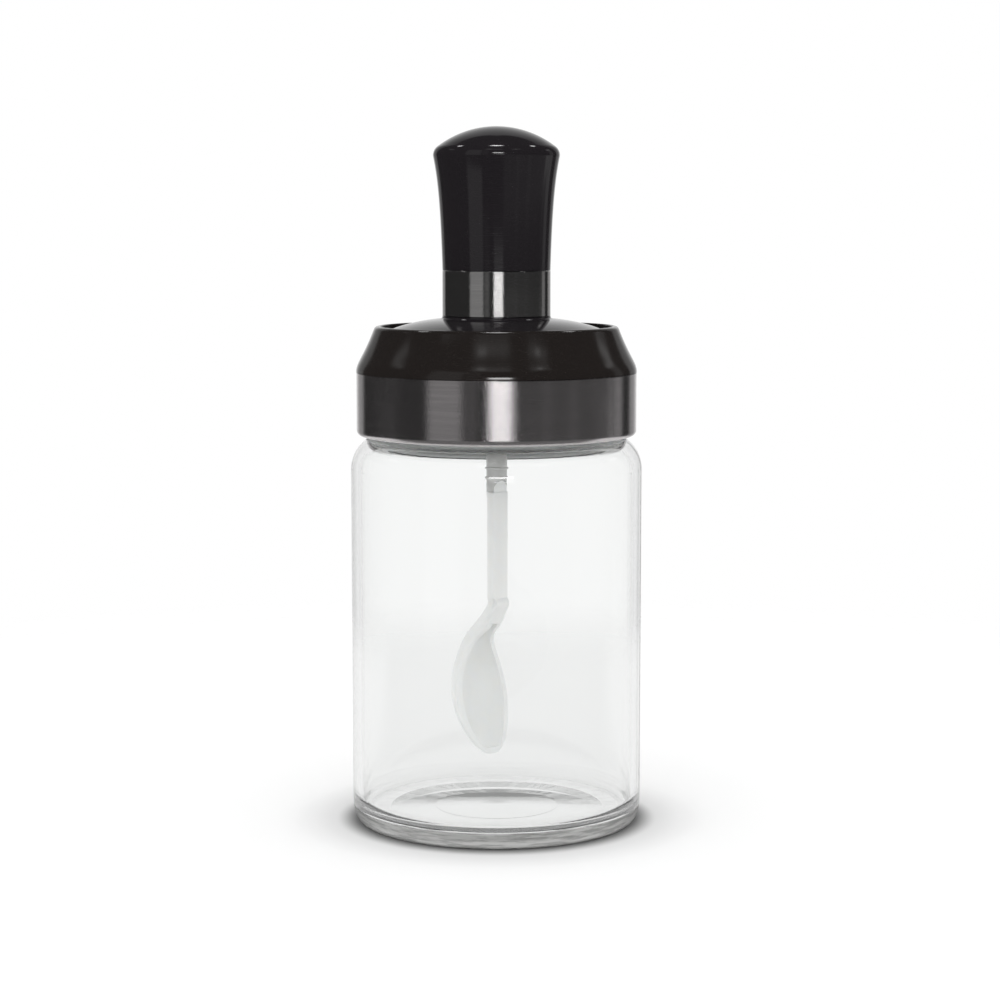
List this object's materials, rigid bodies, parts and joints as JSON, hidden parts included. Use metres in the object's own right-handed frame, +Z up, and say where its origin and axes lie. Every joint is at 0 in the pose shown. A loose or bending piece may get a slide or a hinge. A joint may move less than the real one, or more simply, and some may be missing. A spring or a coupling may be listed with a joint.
{
  "type": "condiment jar with spoon",
  "caption": "Round glass condiment jar with a screw-on steel-banded collar and a lift-out knobbed plug that carries a spoon.",
  "frame": {"origin": "middle of the jar's base, on the surface it stands on", "axes": "+Z up along the jar's axis, -Y towards the picture's camera, +X to the right"},
  "size_m": [0.065, 0.065, 0.1552],
  "materials": {
    "glass": "clear soda-lime glass, fire polished",
    "black_gloss": "glossy black moulded plastic",
    "black_plastic": "satin black moulded plastic",
    "insert_plastic": "natural translucent moulded plastic",
    "steel_brushed": "brushed stainless steel",
    "steel_bright": "finely brushed stainless steel",
    "silicone": "translucent white silicone",
    "socket_plastic": "smoky translucent plastic",
    "spoon_plastic": "satin white moulded plastic",
    "screw_steel": "zinc plated steel"
  },
  "bodies": {
    "jar": {"glass_jar": "glass"},
    "gasket": {"jar_gasket": "silicone"},
    "collar": {"collar_cover": "black_gloss", "screw_insert": "insert_plastic", "steel_band": "steel_brushed"},
    "seal": {"plug_seal": "silicone"},
    "handle": {"dome_cap": "black_gloss", "plug_body": "black_plastic", "handle_sleeve": "steel_bright", "knob_shell": "black_gloss", "knob_screw": "screw_steel", "spoon_socket": "socket_plastic", "spoon": "spoon_plastic"}
  },
  "joints": [
    {"name": "collar_rise", "type": "slide", "parent": "jar", "child": "gasket", "axis": [0, 0, 1], "range_m": [0, 0.00421]},
    {"name": "collar_turn", "type": "hinge", "parent": "gasket", "child": "collar", "pos_m": [0, 0, 0.094], "axis": [0, 0, 1], "range_deg": [0, 360]},
    {"name": "handle_pull", "type": "slide", "parent": "collar", "child": "seal", "axis": [0, 0, 1], "range_m": [0, 0.105]},
    {"name": "handle_turn", "type": "hinge", "parent": "seal", "child": "handle", "pos_m": [0, 0, 0.105], "axis": [0, 0, 1], "continuous": true}
  ],
  "couplings": [
    {"joint": "collar_rise", "follows": "collar_turn", "m_per_rad": 0.00066845}
  ]
}
